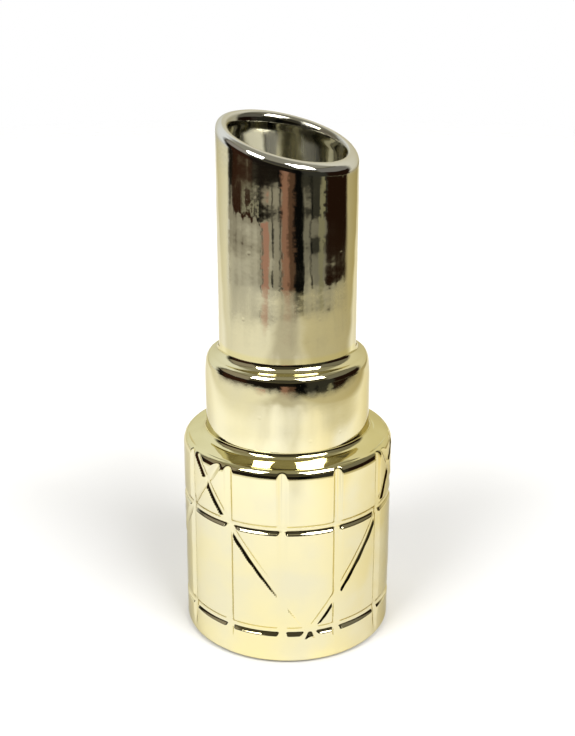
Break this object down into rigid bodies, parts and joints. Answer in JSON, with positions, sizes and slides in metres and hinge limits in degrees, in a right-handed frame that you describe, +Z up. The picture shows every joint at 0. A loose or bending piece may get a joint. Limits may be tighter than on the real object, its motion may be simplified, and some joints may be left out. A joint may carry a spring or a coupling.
{
  "type": "lipstick-shaped vase",
  "caption": "Hollow plated ceramic vase in three round steps like an opened lipstick, with engraved lines on its drum and a slanted open mouth.",
  "frame": {"origin": "on the vase's axis, on the surface it stands on, which is the underside of the felt pads", "axes": "+Z up along the axis of the drum, collar and tube; -Y towards the front; the rim's low side faces front right, 49.5 degrees from -Y towards +X"},
  "size_m": [0.102, 0.102, 0.2494],
  "materials": {
    "plated_ceramic": "polished",
    "felt": "matte"
  },
  "bodies": {
    "root": {"vase_body": "plated_ceramic", "foot_pad_1": "felt", "foot_pad_2": "felt", "foot_pad_3": "felt", "foot_pad_4": "felt"}
  },
  "joints": []
}
